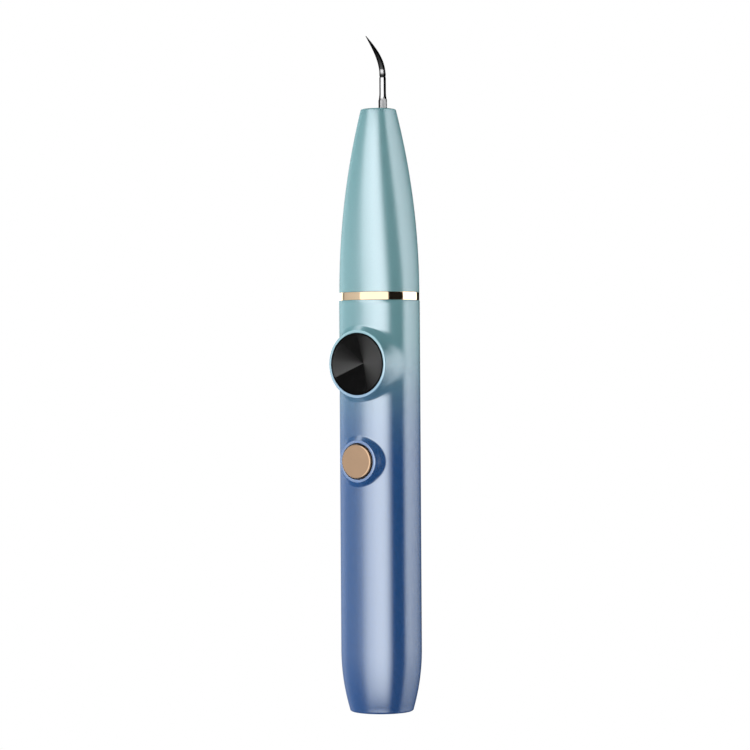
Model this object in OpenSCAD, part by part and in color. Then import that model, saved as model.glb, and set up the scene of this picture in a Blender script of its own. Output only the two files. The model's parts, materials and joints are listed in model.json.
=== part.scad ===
// Cordless ultrasonic scaler, pen shaped, standing on its tail.
// Millimetres. The origin is the middle of the flat tail face, +Z runs up the handle to the tip.
// The display and the button face -Y. Left and right are mirror images about the YZ plane.

/* [Handle] */
// Radius of the straight barrel
body_r = 12.5; // [11.5:0.1:14]
// Height where the tail starts to narrow
tail_z = 19; // [12:0.5:26]
// Radius of the arc that narrows the tail
tail_arc = 66; // [50:1:90]
// Rounding of the tail edge
tail_edge = 0.7; // [0.3:0.1:1.2]
// Top of the handle shell
grip_top = 127; // [124:0.5:130]
// Wall of the handle shell
wall = 1.4; // [1.2:0.1:1.8]
// Depth of the metal accent ring
ring_h = 2.5; // [1.5:0.1:4]

/* [Nose] */
// Top of the nose shell, the mouth
mouth_z = 186.3; // [182:0.1:190]
// Radius of the arc along the nose
nose_arc = 235; // [200:1:280]
// Wall of the nose shell
nose_wall = 1.3; // [1.1:0.1:1.6]
// Radius of the mouth opening
mouth_bore = 4.75; // [4.5:0.05:4.8]

/* [Display and button] */
// Height of the display middle
disp_z = 107.4; // [104:0.1:110]
// Outer radius of the display pod
pod_r = 10.4; // [9.5:0.1:11]
// How far forward the pod rim stands
pod_y = 13; // [12.8:0.1:14]
// Radius of the black glass
glass_r = 9.5; // [9:0.1:10]
// Height of the button middle
btn_z = 77.6; // [74:0.1:82]
// Outer radius of the button boss
boss_r = 6.5; // [6:0.1:7.5]
// How far forward the boss rim stands
boss_y = 13.1; // [12.7:0.1:13.5]
// Radius of the button cap
cap_r = 5.2; // [4.8:0.1:5.3]
// How far forward the cap face stands
cap_y = 13.8; // [13.2:0.1:14.2]

/* [Tip] */
// How far the tip axis sits behind the handle axis
tip_y = 2.6; // [2:0.1:2.8]
// Radius of the tip base
base_r = 1.45; // [1.3:0.05:1.5]
// Width across the wrench flats
flats = 2.2; // [1.8:0.1:2.4]
// Angle of the wrench flats about the tip axis
flat_turn = 51; // [0:1:89]
// Radius of the tip shank
shank_r = 1.02; // [0.8:0.02:1.2]
// How far the point reaches forward of the tip axis
reach = 9.35; // [6:0.05:12]
// Height of the point
point_z = 208.4; // [204:0.1:212]

/* [Inside] */
// Radius of the rechargeable cell
cell_r = 7; // [6.5:0.1:7]
// Length of the cell
cell_h = 50; // [44:0.5:50]
// How far the cell sits behind the handle axis
cell_y = 2.5; // [2:0.1:2.8]
// Radius of the piezo rings
piezo_r = 5; // [4.5:0.1:5]
// Thickness of one piezo ring
piezo_h = 2; // [1.6:0.1:2]
// Radius of an insulated wire
wire_r = 0.35; // [0.25:0.05:0.4]

/* [Hidden] */
$fn = 96;
over = 1;
fit = 0.05;
ring_top = grip_top + ring_h;
nose_r = body_r - 0.1;
ring_r = body_r - 0.15;
inner_r = body_r - wall;
throat_r = 10.4;
throat_z = grip_top - 8;
cap_seat_r = 8.4;
ledge_r = 7.7;
ledge_z0 = 2.6;
ledge_z1 = 4.2;
glass_h = 1;
glass_face = pod_y - 0.05;
glass_back = glass_face - glass_h;
shelf_y = glass_back - 0.45;
shelf_r = 8.5;
btn_bore = cap_r + 0.4;
cap_back = cap_y - 2.4;
pcb_face = 6.2;
pcb_back = 5.2;
pcb_hw = 7;
pcb_z0 = 67.5;
pcb_z1 = 115;
cell_z = 13.6;
stack_z = 132;
foil = 0.2;
horn_z = stack_z + 4 * piezo_h + 5 * foil;
flange_z = horn_z + 3;
flange_h = 1.5;
horn_end = 181;
nose_bore = 10;
holder_z0 = 139;
holder_z1 = 149;
insert_z = 181.2;
lens_y = -2.2;
lens_r = 1.4;
seal_r = 1.5;
seal_wall = 0.25;
thread_r = 0.95;
thread_len = 3;
oring_z = 183.6;
flats_z = 186;
neck_z = 189.4;
shank_z = 192;
bead_z = 197.2;
screw_y = 5.6;
board_z = 8.2;

paint_blue = [0.35, 0.45, 0.66];
paint_aqua = [0.52, 0.7, 0.72];
gold = [0.78, 0.66, 0.52];
black = [0.06, 0.06, 0.07];
steel = [0.75, 0.76, 0.78];
rubber = [0.12, 0.12, 0.13];

// Outer radius of the tail at a height
function tail_r(z) = body_r - (tail_arc - sqrt(pow(tail_arc, 2) - pow(tail_z - z, 2)));

// Outer radius of the nose at a height
function nose_at(z) = nose_r - (nose_arc - sqrt(pow(nose_arc, 2) - pow(z - ring_top, 2)));

// A ring about the handle axis, or about an axis shifted along Y
module tube(outer, inner, z0, z1, y = 0) {
    translate([0, y, z0])
        difference() {
            cylinder(h = z1 - z0, r = outer);
            translate([0, 0, -over])
                cylinder(h = z1 - z0 + 2 * over, r = inner);
        }
}

// A disc that faces forward, from depth d0 to depth d1 in front of the handle axis
module facing(radius, d0, d1, z, x = 0) {
    translate([x, -d0, z])
        rotate([90, 0, 0])
            cylinder(h = d1 - d0, r = radius);
}

// A box given by its two corners
module block(a, b) {
    translate(a)
        cube(b - a);
}

// A twelve-sided rod between two points, carried on a little at each end
module rod(a, b, radius, extra) {
    v = b - a;
    len_v = norm(v);
    translate(a)
        rotate([0, acos(v[2] / len_v), atan2(v[1], v[0])])
            translate([0, 0, -extra])
                cylinder(h = len_v + 2 * extra, r = radius, $fn = 12);
}

// A wire along a list of points: its straight runs overlap at the bends
module wire(path, radius) {
    for (i = [0 : len(path) - 2])
        rod(path[i], path[i + 1], radius, radius * 0.3);
}

// A rubber ring of round section
module o_ring(major, minor, z, y = 0) {
    translate([0, y, z])
        rotate_extrude()
            translate([major, 0])
                circle(r = minor, $fn = 32);
}

// A slot with round ends, standing on height z0
module slot(width, depth, z0, z1) {
    translate([0, 0, z0])
        linear_extrude(height = z1 - z0) {
            square([width - depth, depth], center = true);
            for (side = [-1, 1])
                translate([side * (width - depth) / 2, 0])
                    circle(d = depth);
        }
}

module grip_outer() {
    steps = 14;
    edge_r = tail_r(tail_edge) - tail_edge;
    rotate_extrude()
        polygon(concat(
            [[0, 0]],
            [for (i = [0 : 5]) edge_r_point(edge_r, 90 - 18 * i)],
            [for (i = [1 : steps]) tail_point(tail_edge + (tail_z - tail_edge) * i / steps)],
            [[body_r, grip_top], [0, grip_top]]
        ));
}

function edge_r_point(r, a) = [r + tail_edge * cos(a), tail_edge - tail_edge * sin(a)];

function tail_point(z) = [tail_r(z), z];

module grip_hollow() {
    steps = 8;
    rotate_extrude()
        polygon(concat(
            [[0, -over], [cap_seat_r, -over], [cap_seat_r, ledge_z0]],
            [[ledge_r, ledge_z0], [ledge_r, ledge_z1]],
            [for (i = [0 : steps]) inner_point(ledge_z1 + (tail_z - ledge_z1) * i / steps)],
            [[inner_r, throat_z - 0.7], [throat_r, throat_z], [throat_r, grip_top + over]],
            [[0, grip_top + over]]
        ));
}

function inner_point(z) = [tail_r(z) - wall, z];

// The pod and boss flare out a little where they meet the barrel
module flared(radius, front, spread) {
    facing(radius, 4, front, 0);
    translate([0, -3, 0])
        rotate([90, 0, 0])
            cylinder(h = 7, r1 = radius + spread, r2 = radius);
}

module grip_shell() {
    color(paint_blue)
        difference() {
            union() {
                grip_outer();
                translate([0, 0, disp_z])
                    flared(pod_r, pod_y, 1.48);
                facing(boss_r, 4, boss_y, btn_z);
            }
            difference() {
                grip_hollow();
                // the shelf behind the glass is carried inward to a flat back
                facing(pod_r, 9.8, pod_y, disp_z);
                facing(boss_r + 0.6, 10, boss_y, btn_z);
            }
            facing(glass_r + fit, shelf_y, pod_y + over, disp_z);
            facing(shelf_r, 0, pod_y, disp_z);
            facing(btn_bore, 0, boss_y + over, btn_z);
        }
}

module accent_ring() {
    edge = 0.15;
    color(gold)
        rotate_extrude()
            polygon([
                [throat_r, grip_top], [ring_r - edge, grip_top], [ring_r, grip_top + edge],
                [ring_r, ring_top - edge], [ring_r - edge, ring_top], [throat_r, ring_top]
            ]);
}

module nose_shell() {
    steps = 20;
    lip = 0.4;
    bore_z = holder_z0 + 1;
    seat_z = holder_z1 + fit;
    step_z = 182.25;
    color(paint_aqua)
        rotate_extrude()
            polygon(concat(
                [for (i = [0 : steps]) nose_point(ring_top + (mouth_z - lip - ring_top) * i / steps)],
                [[nose_at(mouth_z) - 0.12, mouth_z - 0.1], [nose_at(mouth_z) - lip, mouth_z]],
                [[mouth_bore, mouth_z], [mouth_bore, step_z]],
                [for (i = [0 : 10]) nose_inner(step_z - (step_z - seat_z - 0.5) * i / 10)],
                [[9.2, seat_z], [nose_bore, seat_z], [nose_bore, bore_z]],
                [[throat_r + fit, bore_z - 0.5], [throat_r + fit, ring_top]]
            ));
}

function nose_point(z) = [nose_at(z), z];

function nose_inner(z) = [min(9.2, nose_at(z) - nose_wall), z];

module front_collar() {
    groove = 0.46;
    color(black)
        difference() {
            tube(throat_r - fit, 8.9, 120, holder_z0);
            for (z = [123, 134])
                tube(throat_r + over, 9.52, z - groove, z + groove);
        }
}

module collar_o_rings() {
    color(rubber)
        for (z = [123, 134])
            o_ring(9.95, 0.42, z);
}

module display_window() {
    color(black)
        facing(glass_r, glass_back, glass_face, disp_z);
}

module display_gasket() {
    color(rubber)
        difference() {
            facing(glass_r - fit, shelf_y, glass_back, disp_z);
            facing(8.7, shelf_y - over, glass_back + over, disp_z);
        }
}

// Segment display glass on its own small round board
module display_module() {
    color([0.16, 0.17, 0.18]) {
        facing(8.2, 9.1, 9.9, disp_z);
        facing(7.6, 9.9, 11.2, disp_z);
    }
}

module display_holder() {
    color([0.85, 0.85, 0.83])
        difference() {
            facing(6.2, pcb_face, 9.1, disp_z);
            facing(5.2, pcb_face - over, 9.1 + over, disp_z);
        }
}

module display_pins() {
    color(gold)
        for (i = [-2.5 : 1 : 2.5])
            facing(0.25, pcb_face, 9.1, disp_z + 3, i * 1.27);
}

module power_button() {
    edge = 0.35;
    color(gold)
        translate([0, 0, btn_z])
            rotate([90, 0, 0])
                rotate_extrude()
                    polygon([
                        [0, cap_back], [cap_r, cap_back], [cap_r, cap_y - edge],
                        [cap_r - edge, cap_y], [0, cap_y]
                    ]);
}

module switch_plunger() {
    color([0.9, 0.9, 0.88])
        facing(0.95, 8.4, cap_back, btn_z);
}

// Silicone boot: a sleeve round the cap with a web behind it
module button_boot() {
    color(rubber)
        difference() {
            facing(btn_bore - fit, 9.5, boss_y - 0.15, btn_z);
            facing(cap_r + fit, 9.9, boss_y + over, btn_z);
            facing(1.3, 9, 10, btn_z);
        }
}

module tact_switch() {
    half = 3;
    color([0.3, 0.3, 0.32])
        difference() {
            block([-half, -8.9, btn_z - half], [half, -pcb_face, btn_z + half]);
            facing(1, 7.4, 9, btn_z);
        }
}

module main_pcb() {
    color([0.05, 0.32, 0.2])
        difference() {
            block([-pcb_hw, -pcb_face, pcb_z0], [pcb_hw, -pcb_back, pcb_z1]);
            for (side = [-1, 1])
                facing(0.8, pcb_back - over, pcb_face + over, 71, side * 4.5);
        }
}

module controller_chip() {
    color([0.1, 0.1, 0.11])
        block([-2.5, -7.1, 87], [2.5, -pcb_face, 92]);
}

// Capacitors and power transistors on both faces of the board
module pcb_parts() {
    color([0.62, 0.5, 0.3]) {
        for (side = [-1, 1]) {
            block([side * 4.6 - 0.8, -7, 86], [side * 4.6 + 0.8, -pcb_face, 89]);
            block([side * 4.6 - 0.8, -7, 91], [side * 4.6 + 0.8, -pcb_face, 94]);
            block([side * 4 - 1.2, -pcb_back, 75], [side * 4 + 1.2, -3.8, 79]);
            translate([side * 3, -pcb_back, 104])
                rotate([-90, 0, 0])
                    cylinder(h = 6, r = 2);
        }
    }
}

module drive_transformer() {
    color([0.22, 0.22, 0.23])
        difference() {
            block([-5, -pcb_back, 84], [5, 2.8, 98]);
            block([-6, -3.4, 86.5], [-2, 4, 95.5]);
            block([2, -3.4, 86.5], [6, 4, 95.5]);
        }
}

module transformer_coil() {
    gap = 0.1;
    color([0.72, 0.42, 0.2])
        for (side = [-1, 1])
            difference() {
                block([side * 3.6 - 1.5, -3.2, 86.7], [side * 3.6 + 1.5, 2.8, 95.3]);
                block([side * 3.6 - 0.1, -4, 90.9], [side * 3.6 + 0.1, 4, 90.9 + gap]);
            }
}

module small_screw(head_r, head_h, shank, length) {
    cylinder(h = head_h, r = head_r);
    translate([0, 0, head_h - 0.01])
        cylinder(h = length, r = shank);
}

module cross_slot(depth, span) {
    translate([-span / 2, -0.15, -over])
        cube([span, 0.3, over + depth]);
    translate([-0.15, -span / 2, -over])
        cube([0.3, span, over + depth]);
}

module pcb_screws() {
    head = 0.8;
    color(steel)
        for (side = [-1, 1])
            translate([side * 4.5, -pcb_face - head, 71])
                rotate([-90, 0, 0])
                    difference() {
                        small_screw(1.3, head, 0.75, 2.6);
                        cross_slot(0.4, 1.6);
                    }
}

// Carrier that the cell, the board and the charging board are fixed to
module chassis() {
    rail_in = 6.2;
    rail_out = 7.9;
    slot_y = 0.05;
    trough = cell_r + 0.3;
    color([0.8, 0.8, 0.78])
        difference() {
            union() {
                translate([0, 0, 10.5])
                    cylinder(h = 1.5, r = 9.9);
                translate([0, 0, 116])
                    cylinder(h = 1.5, r = 10.3);
                // half trough round the cell, with an end wall each side
                intersection() {
                    tube(trough + 0.9, trough, 11.9, 66, cell_y);
                    block([-12, cell_y - 1, 11], [12, 14, 67]);
                }
                intersection() {
                    translate([0, cell_y, 64.4])
                        cylinder(h = 1.6, r = trough + 0.9);
                    block([-12, -3.2, 64], [12, 14, 67]);
                }
                // rails that hold the board by its edges
                for (side = [-1, 1])
                    block(
                        [min(side * rail_in, side * rail_out), -6.7, 64.5],
                        [max(side * rail_in, side * rail_out), -2.4, 116.5]
                    );
                block([-7, -3.9, 64.4], [7, -1, 66]);
                block([-4, 8, 65], [4, 9.4, 116.5]);
                // cross bar under the board screws
                block([-7, -pcb_back + slot_y, 69.4], [7, -3.4, 72.6]);
                for (side = [-1, 1])
                    translate([0, side * screw_y, 5])
                        cylinder(h = 5.6, r = 1.6);
            }
            // board slot
            block([-pcb_hw - slot_y, -pcb_face - slot_y, pcb_z0 - slot_y],
                  [pcb_hw + slot_y, -pcb_back + slot_y, pcb_z1 + slot_y]);
            for (side = [-1, 1]) {
                translate([0, side * screw_y, 4])
                    cylinder(h = 6, r = 0.8);
                facing(0.8, 3, 6, 71, side * 4.5);
                // wire holes in the end discs
                translate([side * 3, -7, 9])
                    cylinder(h = 4, r = 0.9);
            }
            block([-4, -5.4, 115.5], [4, -2.4, 118]);
            // the front disc is cut flat behind the display pod
            block([-8, -12, 115.5], [8, -9.6, 118]);
            block([-1.6, -8.2, 115.5], [1.6, -6, 118]);
            // cell leads pass the end walls here
            block([-5.6, -5, 63.8], [-4.2, -2.6, 67]);
        }
}

module battery_cell() {
    color([0.15, 0.45, 0.3]) {
        translate([0, cell_y, cell_z])
            cylinder(h = cell_h - 1, r = cell_r);
        translate([0, cell_y, cell_z + cell_h - 1.1])
            cylinder(h = 0.9, r = 2.6);
    }
}

module battery_tabs() {
    thin = 0.15;
    color(steel) {
        block([-2, -4.55, cell_z + cell_h - 0.2], [2, cell_y + 2, cell_z + cell_h - 0.2 + thin]);
        block([-2, -4.55, cell_z - thin], [2, cell_y + 2, cell_z]);
    }
}

module battery_pad() {
    color([0.25, 0.25, 0.26])
        translate([0, cell_y, 12])
            cylinder(h = cell_z - 0.15 - 12, r = 6.2);
}

module charge_board() {
    color([0.05, 0.32, 0.2])
        block([-7.5, -3.5, board_z], [7.5, 3.5, board_z + 1]);
}

module charge_parts() {
    color([0.1, 0.1, 0.11]) {
        block([-2, -1.4, board_z + 1], [2, 1.4, board_z + 1.9]);
        for (side = [-1, 1])
            block([side * 5.2 - 1, -1, board_z + 1], [side * 5.2 + 1, 1, board_z + 1.8]);
    }
}

module usb_c_socket() {
    color(steel)
        difference() {
            slot(8.94, 3.26, 1.5, board_z);
            slot(8.34, 2.6, 1, 6.8);
        }
    // contact tongue
    color(black)
        block([-3.3, -0.35, 2], [3.3, 0.35, 7]);
}

module tail_cap() {
    color([0.3, 0.4, 0.6])
        difference() {
            union() {
                cylinder(h = 2.5, r = cap_seat_r - fit);
                tube(7.6, 6.3, 2.4, 4.6);
            }
            tube(8, 6.98, 3.12, 3.88);
            slot(12.7, 5.9, -over, 1.4);
            slot(9.2, 3.5, -over, 3);
            for (side = [-1, 1])
                translate([0, side * screw_y, -over]) {
                    cylinder(h = over + 1.35, r = 1.6);
                    cylinder(h = 5, r = 0.85);
                }
        }
}

module tail_o_ring() {
    color(rubber)
        o_ring(7.34, 0.33, 3.5);
}

module tail_screws() {
    color(steel)
        for (side = [-1, 1])
            translate([0, side * screw_y, 0.3])
                difference() {
                    small_screw(1.5, 1, 0.75, 7.6);
                    cross_slot(0.5, 1.8);
                }
}

// Soft plug that closes the charging port, flush with the tail
module port_plug() {
    color(rubber)
        difference() {
            union() {
                slot(12.6, 5.8, 0.15, 1.35);
                slot(8.2, 2.46, 1.3, 4.2);
            }
            // room for the contact tongue
            block([-3.5, -0.5, 1.8], [3.5, 0.5, 5]);
            // finger groove
            translate([0, 0, 0.15])
                rotate([0, 90, 0])
                    cylinder(h = 5, r = 0.4, center = true);
        }
}

module charge_leads() {
    color([0.75, 0.1, 0.1])
        for (side = [-1, 1])
            wire([
                [side * 3, -2.6, board_z + 1.4], [side * 3, -6.4, 9.75], [side * 3, -7, 12],
                [side * 3, -7, 62], [side * 3, -6.6, 66], [side * 3, -6.6, 69]
            ], wire_r);
}

module battery_leads() {
    color([0.1, 0.1, 0.1]) {
        wire([
            [0.9, -4.96, cell_z], [0.9, -5.4, cell_z + 3], [0.9, -5.4, 60],
            [0.9, -6.6, 66], [0.9, -6.6, 69]
        ], wire_r);
        wire([
            [-0.9, -4.96, cell_z + cell_h - 0.4], [-0.9, -5.1, 65], [-0.9, -6.6, 67.3],
            [-0.9, -6.6, 69]
        ], wire_r);
    }
}

module drive_leads() {
    y_run = tip_y - piezo_r - 0.9;
    color([0.85, 0.3, 0.1])
        for (side = [-1, 1])
            wire([
                [side * 2.6, -4.8, 112.5], [side * 2.6, -4.2, 115], [side * 2.6, -4.2, 119],
                [side * 1.4, y_run, 128], [side * 1.4, y_run, side > 0 ? 138.8 : 141]
            ], 0.3);
}

module light_leads() {
    color([0.9, 0.9, 0.9])
        for (side = [-1, 1])
            wire([
                [side * 0.7, -6.6, 114.1], [side * 0.7, -7.1, 116], [side * 0.7, -7.4, 121],
                [side * 0.7, -7.4, 150], [side * 0.7, -6.6, 160], [side * 0.7, -5.2, 171],
                [side * 0.7, -4.1, 178.1]
            ], 0.3);
}

module stack_bolt() {
    color(steel)
        translate([0, tip_y, 0])
            difference() {
                union() {
                    translate([0, 0, 121])
                        cylinder(h = 3, r = 3.2);
                    translate([0, 0, 123.9])
                        cylinder(h = 23.1, r = 2);
                }
                translate([0, 0, 120])
                    cylinder(h = 2.8, r = 1.7, $fn = 6);
            }
}

module back_mass() {
    color([0.6, 0.61, 0.63])
        tube(piezo_r, 2 + fit, 124, stack_z, tip_y);
}

module piezo_rings() {
    color([0.88, 0.86, 0.8])
        for (i = [0 : 3])
            let (z = stack_z + foil + i * (piezo_h + foil))
                tube(piezo_r, 2.5, z, z + piezo_h, tip_y);
}

// Thin contact discs, the driven ones with a tab to the right and the others to the left
module electrode_discs() {
    color([0.8, 0.5, 0.3])
        for (i = [0 : 4])
            let (z = stack_z + i * (piezo_h + foil), side = i % 2 == 1 ? 1 : -1) {
                tube(piezo_r - 0.05, 2.5, z, z + foil, tip_y);
                block([side * 1.4 - 0.5, -2.95, z], [side * 1.4 + 0.5, -1.6, z + foil]);
            }
}

module insulating_tube() {
    color([0.9, 0.85, 0.6])
        tube(2.4, 2 + fit, stack_z, horn_z, tip_y);
}

// Titanium horn: a stepped rear, a clamping flange and an exponential taper to the front
module horn() {
    steps = 12;
    taper_z = 150;
    taper_h = 18;
    front_r = 2.3;
    color([0.66, 0.66, 0.68])
        translate([0, tip_y, 0])
            difference() {
                rotate_extrude()
                    polygon(concat(
                        [[0, horn_z], [piezo_r, horn_z], [piezo_r, flange_z]],
                        [[6, flange_z], [6, flange_z + flange_h], [piezo_r, flange_z + flange_h]],
                        [for (i = [0 : steps]) [
                            piezo_r * pow(front_r / piezo_r, i / steps),
                            taper_z + taper_h * i / steps
                        ]],
                        [[front_r, horn_end], [0, horn_end]]
                    ));
                translate([0, 0, horn_z - over])
                    cylinder(h = over + 7, r = 2 + fit);
                translate([0, 0, horn_end - thread_len - 0.4])
                    cylinder(h = thread_len + over, r = thread_r + fit);
            }
}

module horn_o_rings() {
    color(rubber)
        for (z = [flange_z - 0.7, flange_z + flange_h + 0.7])
            o_ring(5.56, 0.5, z, tip_y);
}

module transducer_holder() {
    color([0.25, 0.26, 0.28])
        difference() {
            translate([0, 0, holder_z0 + fit])
                cylinder(h = holder_z1 - holder_z0 - fit, r = nose_bore - fit);
            translate([0, tip_y, holder_z0 - over])
                cylinder(h = 20, r = 5.35);
            translate([0, tip_y, flange_z - 1.4])
                cylinder(h = 20, r = 6.2);
            // wire passages at the front
            for (side = [-1, 1])
                translate([side * 0.7, -7.4, holder_z0 - over])
                    cylinder(h = 20, r = 0.6);
            translate([0, -3, holder_z0 - over])
                cylinder(h = 4, r = 2.4);
        }
}

module clamp_nut() {
    color(steel)
        difference() {
            tube(6.2 - fit, 5.35, 146.9, holder_z1, tip_y);
            for (a = [0 : 90 : 270])
                translate([0, tip_y, holder_z1])
                    rotate([0, 0, a])
                        translate([5.75, 0, 0])
                            cube([1.6, 1, 1.2], center = true);
        }
}

// Black mouth piece with a hole for the tip and one for the light
module mouth_insert() {
    color(black)
        difference() {
            union() {
                translate([0, 0, 182.2])
                    cylinder(h = 3.8, r = mouth_bore - fit);
                translate([0, 0, insert_z])
                    cylinder(h = 1.05, r = 4.95);
                for (side = [-1, 1])
                    translate([side * 1.8, -3.4, 179.3])
                        cylinder(h = 2, r = 0.5);
            }
            translate([0, tip_y, insert_z - over])
                cylinder(h = 8, r = seal_r + seal_wall + 0.01);
            translate([0, lens_y, insert_z - over])
                cylinder(h = 8, r = lens_r + 0.02);
        }
}

module tip_seal() {
    color([0.35, 0.36, 0.38])
        tube(seal_r + seal_wall, seal_r, insert_z, 185.7, tip_y);
}

module light_lens() {
    color([0.9, 0.95, 1])
        translate([0, lens_y, 180.2])
            cylinder(h = 5.8, r = lens_r);
}

module light_board() {
    color([0.9, 0.9, 0.9]) {
        block([-2.5, -4.6, 178.5], [2.5, -0.5, 179.3]);
        block([-0.8, lens_y - 0.8, 179.3], [0.8, lens_y + 0.8, 179.9]);
    }
}

// Points of the curved blade: a cubic curve in the YZ plane
function curve(t, a, b, c, d) =
    a * pow(1 - t, 3) + 3 * b * t * pow(1 - t, 2) + 3 * c * t * t * (1 - t) + d * pow(t, 3);

function blade_y(t) = -curve(t, 0, 0, 3.6, reach);

function blade_z(t) = curve(t, bead_z - 0.3, bead_z + 4.2, point_z - 4.1, point_z - 0.1);

function blade_r(t) = 0.13 + 0.85 * (1 - pow(t, 2.1));

function blade_dir(t) = atan2(
    -(blade_y(min(t + 0.01, 1)) - blade_y(max(t - 0.01, 0))),
    blade_z(min(t + 0.01, 1)) - blade_z(max(t - 0.01, 0))
);

function blade_ring(t, sides) = [for (i = [0 : sides - 1])
    let (a = 360 * i / sides, u = blade_r(t) * sin(a))
        [blade_r(t) * cos(a), blade_y(t) + u * cos(blade_dir(t)), blade_z(t) + u * sin(blade_dir(t))]
];

module blade() {
    sides = 12;
    rings = 10;
    last = rings * sides;
    polyhedron(
        points = [for (k = [0 : rings]) each blade_ring(k / rings, sides)],
        faces = concat(
            [[for (i = [0 : sides - 1]) i]],
            [for (k = [0 : rings - 1], i = [0 : sides - 1])
                let (a = k * sides + i, b = k * sides + (i + 1) % sides)
                    [a, a + sides, b + sides, b]],
            [[for (i = [0 : sides - 1]) last + sides - 1 - i]]
        )
    );
}

// Screw-in tip: threaded pin, sealed base with wrench flats, shank and curved blade
module scaler_tip() {
    neck = shank_z - neck_z;
    color(steel)
        translate([0, tip_y, 0]) {
            difference() {
                rotate_extrude()
                    polygon(concat(
                        [[0, horn_end - thread_len], [thread_r, horn_end - thread_len]],
                        [[thread_r, horn_end], [base_r, horn_end], [base_r, neck_z]],
                        [for (i = [1 : 6]) [
                            base_r - (base_r - shank_r) * sin(15 * i),
                            shank_z - neck * cos(15 * i)
                        ]],
                        [[shank_r, bead_z], [0, bead_z]]
                    ));
                tube(base_r + over, 0.98, oring_z - 0.27, oring_z + 0.27);
                for (a = [0 : 90 : 270])
                    rotate([0, 0, a + flat_turn])
                        translate([flats / 2, -3, flats_z])
                            cube([3, 6, neck_z + 1.3 - flats_z]);
            }
            blade();
        }
}

module tip_o_ring() {
    color(rubber)
        o_ring(1.24, 0.24, oring_z, tip_y);
}

grip_shell();
accent_ring();
nose_shell();
front_collar();
collar_o_rings();
display_window();
display_gasket();
display_module();
display_holder();
display_pins();
power_button();
switch_plunger();
button_boot();
tact_switch();
main_pcb();
controller_chip();
pcb_parts();
drive_transformer();
transformer_coil();
pcb_screws();
chassis();
battery_cell();
battery_tabs();
battery_pad();
charge_board();
charge_parts();
usb_c_socket();
tail_cap();
tail_o_ring();
tail_screws();
port_plug();
charge_leads();
battery_leads();
drive_leads();
light_leads();
stack_bolt();
back_mass();
piezo_rings();
electrode_discs();
insulating_tube();
horn();
horn_o_rings();
transducer_holder();
clamp_nut();
mouth_insert();
tip_seal();
light_lens();
light_board();
scaler_tip();
tip_o_ring();
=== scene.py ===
import json
from math import acos, atan2, ceil, cos, pi, radians, sin, sqrt, tan

import bpy
from mathutils import Matrix, Vector

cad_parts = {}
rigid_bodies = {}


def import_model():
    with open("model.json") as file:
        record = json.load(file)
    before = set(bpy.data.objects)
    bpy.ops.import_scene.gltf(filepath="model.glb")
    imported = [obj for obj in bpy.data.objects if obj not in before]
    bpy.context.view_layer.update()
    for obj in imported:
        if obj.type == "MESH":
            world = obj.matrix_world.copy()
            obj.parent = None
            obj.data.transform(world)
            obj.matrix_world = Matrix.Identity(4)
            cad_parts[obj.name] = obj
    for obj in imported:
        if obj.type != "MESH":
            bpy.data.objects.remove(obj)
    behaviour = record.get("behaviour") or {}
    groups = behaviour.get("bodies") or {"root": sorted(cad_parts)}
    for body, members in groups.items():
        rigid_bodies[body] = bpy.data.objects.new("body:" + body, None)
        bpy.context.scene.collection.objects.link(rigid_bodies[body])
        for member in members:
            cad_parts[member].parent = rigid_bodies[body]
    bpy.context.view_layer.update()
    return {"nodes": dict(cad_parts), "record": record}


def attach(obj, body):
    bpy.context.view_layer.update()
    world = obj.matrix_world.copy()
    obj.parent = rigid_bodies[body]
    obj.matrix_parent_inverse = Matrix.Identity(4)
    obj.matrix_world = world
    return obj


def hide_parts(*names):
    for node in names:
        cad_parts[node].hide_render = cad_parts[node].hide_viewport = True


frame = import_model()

MM = 0.001

# ---------------------------------------------------------------- sizes, in millimetres
BODY_R = 12.5
TAIL_Z = 19.0
TAIL_ARC = 66.0
TAIL_EDGE = 0.7
GRIP_TOP = 127.0
RING_TOP = 129.5
NOSE_R = 12.4
NOSE_ARC = 235.0
MOUTH_Z = 186.3
MOUTH_BORE = 4.75
THROAT_R = 10.4
CAP_SEAT_R = 8.4
DISP_Z = 107.4
POD_R, POD_Y, POD_BORE, SHELF_Y, SHELF_R = 10.4, 13.0, 9.55, 11.5, 8.5
GLASS_R, GLASS_FACE, GLASS_BACK = 9.49, 12.95, 11.95
BTN_Z = 77.6
BOSS_R, BOSS_Y, BTN_BORE = 6.5, 13.1, 5.6
CAP_R, CAP_Y, CAP_EDGE = 5.2, 13.8, 0.4
TIP_Y = 2.6
# how long the flare round a pod runs along the barrel before it ends, as a share of its width
SOFTEN, SOFTEN_LEAST = 0.35, 0.1
# the rounding of a pod's lip above and below, where the pod hardly stands out of the barrel
LIP_THIN = 0.08
# the chamfer at the barrel's top
TOP_EDGE, TOP_BREAK = 0.12, 0.035
# inside the tail: the cap's seat, the ledge behind it and the start of the hollow
SEAT_EDGE, SEAT_DEPTH, LEDGE_R, LEDGE_Z, HOLLOW_R = 0.08, 2.6, 7.7, 4.2, 9.4
# inside the barrel's top: the collar's throat and the hollow below it
THROAT_Z, HOLLOW_TOP_R, HOLLOW_TOP_Z = 119.0, 11.1, 118.3
# inside the nose: the throat's top, the shoulder over it, the narrowing cone and the mouth
NOSE_THROAT_Z, NOSE_STEP_R, NOSE_STEP_Z = 139.5, 10.0, 149.1
NOSE_HOLLOW_R, NOSE_CONE_Z, NOSE_CONE_R, NOSE_CONE_TOP = 9.1, 158.0, 6.6, 177.0
MOUTH_STEP_R, MOUTH_STEP_Z, MOUTH_EDGE = 5.05, 182.2, 0.06


def tail_r(z):
    return BODY_R - (TAIL_ARC - sqrt(TAIL_ARC ** 2 - (TAIL_Z - z) ** 2))


def nose_r(z):
    return NOSE_R - (NOSE_ARC - sqrt(NOSE_ARC ** 2 - (z - RING_TOP) ** 2))


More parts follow.
